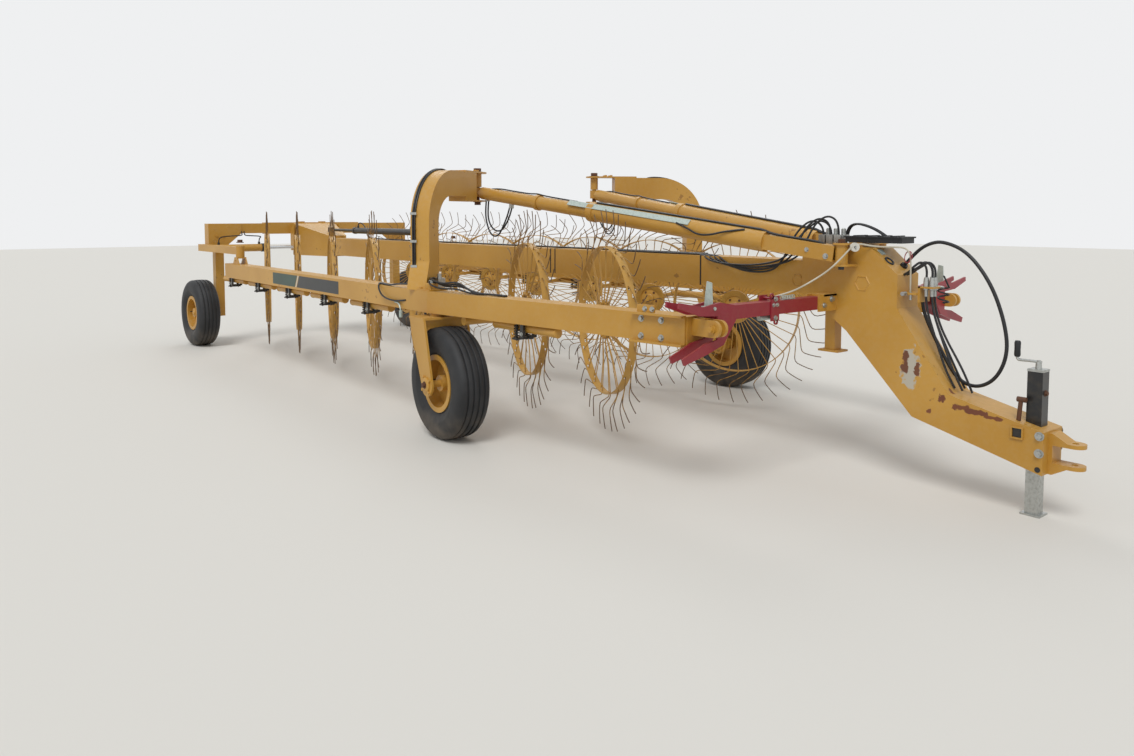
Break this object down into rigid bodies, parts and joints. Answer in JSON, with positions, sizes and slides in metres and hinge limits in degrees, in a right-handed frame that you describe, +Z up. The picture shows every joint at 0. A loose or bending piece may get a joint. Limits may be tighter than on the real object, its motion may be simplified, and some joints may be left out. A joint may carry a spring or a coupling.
{
  "type": "carted wheel rake",
  "caption": "Folding wheel rake on road wheels, parked on its jack: long beam with gooseneck hitch, two arms of tined rake wheels, booms and latches.",
  "frame": {"origin": "under the middle of the machine's box, at the ground", "axes": "+X forward to the hitch, +Y to the machine's left, +Z up"},
  "size_m": [9.58, 3.3412, 1.9],
  "materials": {
    "yellow_paint": "semi-gloss machine enamel, dusty",
    "yellow_tine": "painted spring wire, worn to brown steel at the tips",
    "red_paint": "semi-gloss enamel",
    "black_paint": "satin enamel",
    "zinc_plate": "dull zinc plate",
    "chrome_rod": "hard chrome",
    "tyre_rubber": "weathered rubber",
    "hose_rubber": "smooth hose cover",
    "black_plastic": "satin",
    "white_rope": "braided cord"
  },
  "bodies": {
    "frame": {"boom_lugs": "yellow_paint", "cross_sleeve": "yellow_paint", "gooseneck": "yellow_paint", "hitch_clevis": "yellow_paint", "jack_crank": "zinc_plate", "jack_housing": "black_paint", "latch_outrigger_left": "red_paint", "latch_outrigger_right": "red_paint", "main_beam": "yellow_paint", "pull_rope": "white_rope", "ram_rod_left": "chrome_rod", "ram_rod_right": "chrome_rod", "rear_block": "yellow_paint", "supply_hose": "hose_rubber", "top_cover": "black_plastic", "top_ram": "black_paint"},
    "jack_leg": {"jack_leg": "zinc_plate"},
    "slide_right": {"rear_slide_right": "yellow_paint", "ram_barrel_right": "yellow_paint"},
    "rear_wheel_right": {"rear_rim_right": "yellow_paint", "rear_tyre_right": "tyre_rubber"},
    "arm_right": {"arm_beam_right": "yellow_paint", "arm_fittings_right": "yellow_paint", "arch_right": "yellow_paint", "wheel_carriers_right": "yellow_paint", "spring_clamps_right": "black_paint"},
    "caster_right": {"caster_fork_right": "yellow_paint"},
    "front_wheel_right": {"front_rim_right": "yellow_paint", "front_tyre_right": "tyre_rubber"},
    "boom_right": {"boom_outer_right": "yellow_paint"},
    "boom_inner_right": {"boom_rod_right": "yellow_paint"},
    "rake_1_right": {"rake_wheel_1_right": "yellow_tine"},
    "rake_2_right": {"rake_wheel_2_right": "yellow_tine"},
    "rake_3_right": {"rake_wheel_3_right": "yellow_tine"},
    "rake_4_right": {"rake_wheel_4_right": "yellow_tine"},
    "rake_5_right": {"rake_wheel_5_right": "yellow_tine"},
    "rake_6_right": {"rake_wheel_6_right": "yellow_tine"},
    "rake_7_right": {"rake_wheel_7_right": "yellow_tine"},
    "slide_left": {"rear_slide_left": "yellow_paint", "ram_barrel_left": "yellow_paint"},
    "rear_wheel_left": {"rear_rim_left": "yellow_paint", "rear_tyre_left": "tyre_rubber"},
    "arm_left": {"arm_beam_left": "yellow_paint", "arm_fittings_left": "yellow_paint", "arch_left": "yellow_paint", "wheel_carriers_left": "yellow_paint", "spring_clamps_left": "black_paint"},
    "caster_left": {"caster_fork_left": "yellow_paint"},
    "front_wheel_left": {"front_rim_left": "yellow_paint", "front_tyre_left": "tyre_rubber"},
    "boom_left": {"boom_outer_left": "yellow_paint"},
    "boom_inner_left": {"boom_rod_left": "yellow_paint"},
    "rake_1_left": {"rake_wheel_1_left": "yellow_tine"},
    "rake_2_left": {"rake_wheel_2_left": "yellow_tine"},
    "rake_3_left": {"rake_wheel_3_left": "yellow_tine"},
    "rake_4_left": {"rake_wheel_4_left": "yellow_tine"},
    "rake_5_left": {"rake_wheel_5_left": "yellow_tine"},
    "rake_6_left": {"rake_wheel_6_left": "yellow_tine"},
    "rake_7_left": {"rake_wheel_7_left": "yellow_tine"}
  },
  "joints": [
    {"name": "jack_slide", "type": "slide", "parent": "frame", "child": "jack_leg", "axis": [0, 0, 1], "range_m": [0, 0.22]},
    {"name": "width_slide_right", "type": "slide", "parent": "frame", "child": "slide_right", "axis": [0, -1, 0], "range_m": [0, 0.4]},
    {"name": "rear_wheel_spin_right", "type": "hinge", "parent": "slide_right", "child": "rear_wheel_right", "pos_m": [-4.4, -1.43, 0.39], "axis": [0, 1, 0], "continuous": true},
    {"name": "arm_swing_right", "type": "hinge", "parent": "slide_right", "child": "arm_right", "pos_m": [-3.2, -1.36, 1.09], "axis": [0, 0, -1], "range_deg": [0, 30]},
    {"name": "caster_swivel_right", "type": "hinge", "parent": "arm_right", "child": "caster_right", "pos_m": [1.115, -1.48, 0.85], "axis": [0, 0, 1], "continuous": true},
    {"name": "front_wheel_spin_right", "type": "hinge", "parent": "caster_right", "child": "front_wheel_right", "pos_m": [1.26463, -1.49046, 0.39], "axis": [0.0698, 0.9976, 0], "continuous": true},
    {"name": "boom_swing_right", "type": "hinge", "parent": "frame", "child": "boom_right", "pos_m": [3.515, -0.205, 1.3183], "axis": [0, 0, 1], "range_deg": [0, 27.89]},
    {"name": "boom_slide_right", "type": "slide", "parent": "boom_right", "child": "boom_inner_right", "axis": [-0.9822, -0.1354, 0.1303], "range_m": [0, 0.8383]},
    {"name": "rake_spin_1_right", "type": "hinge", "parent": "arm_right", "child": "rake_1_right", "pos_m": [1.99, -0.68, 0.83], "axis": [0.3665, 0.9304, 0], "continuous": true},
    {"name": "rake_spin_2_right", "type": "hinge", "parent": "arm_right", "child": "rake_2_right", "pos_m": [1.07, -0.66, 0.83], "axis": [0.3665, 0.9304, 0], "continuous": true},
    {"name": "rake_spin_3_right", "type": "hinge", "parent": "arm_right", "child": "rake_3_right", "pos_m": [-0.05, -0.95, 0.83], "axis": [0.3665, 0.9304, 0], "continuous": true},
    {"name": "rake_spin_4_right", "type": "hinge", "parent": "arm_right", "child": "rake_4_right", "pos_m": [-0.91, -0.95, 0.83], "axis": [0.3665, 0.9304, 0], "continuous": true},
    {"name": "rake_spin_5_right", "type": "hinge", "parent": "arm_right", "child": "rake_5_right", "pos_m": [-1.77, -0.95, 0.83], "axis": [0.3665, 0.9304, 0], "continuous": true},
    {"name": "rake_spin_6_right", "type": "hinge", "parent": "arm_right", "child": "rake_6_right", "pos_m": [-2.63, -0.95, 0.83], "axis": [0.3665, 0.9304, 0], "continuous": true},
    {"name": "rake_spin_7_right", "type": "hinge", "parent": "arm_right", "child": "rake_7_right", "pos_m": [-3.49, -0.95, 0.83], "axis": [0.3665, 0.9304, 0], "continuous": true},
    {"name": "width_slide_left", "type": "slide", "parent": "frame", "child": "slide_left", "axis": [0, 1, 0], "range_m": [0, 0.4]},
    {"name": "rear_wheel_spin_left", "type": "hinge", "parent": "slide_left", "child": "rear_wheel_left", "pos_m": [-4.4, 1.43, 0.39], "axis": [0, 1, 0], "continuous": true},
    {"name": "arm_swing_left", "type": "hinge", "parent": "slide_left", "child": "arm_left", "pos_m": [-3.2, 1.36, 1.09], "axis": [0, 0, 1], "range_deg": [0, 30]},
    {"name": "caster_swivel_left", "type": "hinge", "parent": "arm_left", "child": "caster_left", "pos_m": [1.115, 1.48, 0.85], "axis": [0, 0, 1], "continuous": true},
    {"name": "front_wheel_spin_left", "type": "hinge", "parent": "caster_left", "child": "front_wheel_left", "pos_m": [1.26463, 1.49046, 0.39], "axis": [0.0698, -0.9976, 0], "continuous": true},
    {"name": "boom_swing_left", "type": "hinge", "parent": "frame", "child": "boom_left", "pos_m": [3.515, 0.205, 1.3183], "axis": [0, 0, -1], "range_deg": [0, 27.89]},
    {"name": "boom_slide_left", "type": "slide", "parent": "boom_left", "child": "boom_inner_left", "axis": [-0.9822, 0.1354, 0.1303], "range_m": [0, 0.8383]},
    {"name": "rake_spin_1_left", "type": "hinge", "parent": "arm_left", "child": "rake_1_left", "pos_m": [1.99, 0.68, 0.83], "axis": [0.3665, -0.9304, 0], "continuous": true},
    {"name": "rake_spin_2_left", "type": "hinge", "parent": "arm_left", "child": "rake_2_left", "pos_m": [1.07, 0.66, 0.83], "axis": [0.3665, -0.9304, 0], "continuous": true},
    {"name": "rake_spin_3_left", "type": "hinge", "parent": "arm_left", "child": "rake_3_left", "pos_m": [-0.05, 0.95, 0.83], "axis": [0.3665, -0.9304, 0], "continuous": true},
    {"name": "rake_spin_4_left", "type": "hinge", "parent": "arm_left", "child": "rake_4_left", "pos_m": [-0.91, 0.95, 0.83], "axis": [0.3665, -0.9304, 0], "continuous": true},
    {"name": "rake_spin_5_left", "type": "hinge", "parent": "arm_left", "child": "rake_5_left", "pos_m": [-1.77, 0.95, 0.83], "axis": [0.3665, -0.9304, 0], "continuous": true},
    {"name": "rake_spin_6_left", "type": "hinge", "parent": "arm_left", "child": "rake_6_left", "pos_m": [-2.63, 0.95, 0.83], "axis": [0.3665, -0.9304, 0], "continuous": true},
    {"name": "rake_spin_7_left", "type": "hinge", "parent": "arm_left", "child": "rake_7_left", "pos_m": [-3.49, 0.95, 0.83], "axis": [0.3665, -0.9304, 0], "continuous": true}
  ],
  "couplings": [
    {"joint": "boom_swing_right", "follows": "arm_swing_right", "ratio": 0.91297},
    {"joint": "boom_slide_right", "follows": "arm_swing_right", "m_per_rad": 1.5819},
    {"joint": "boom_swing_left", "follows": "arm_swing_left", "ratio": 0.91297},
    {"joint": "boom_slide_left", "follows": "arm_swing_left", "m_per_rad": 1.5819}
  ]
}
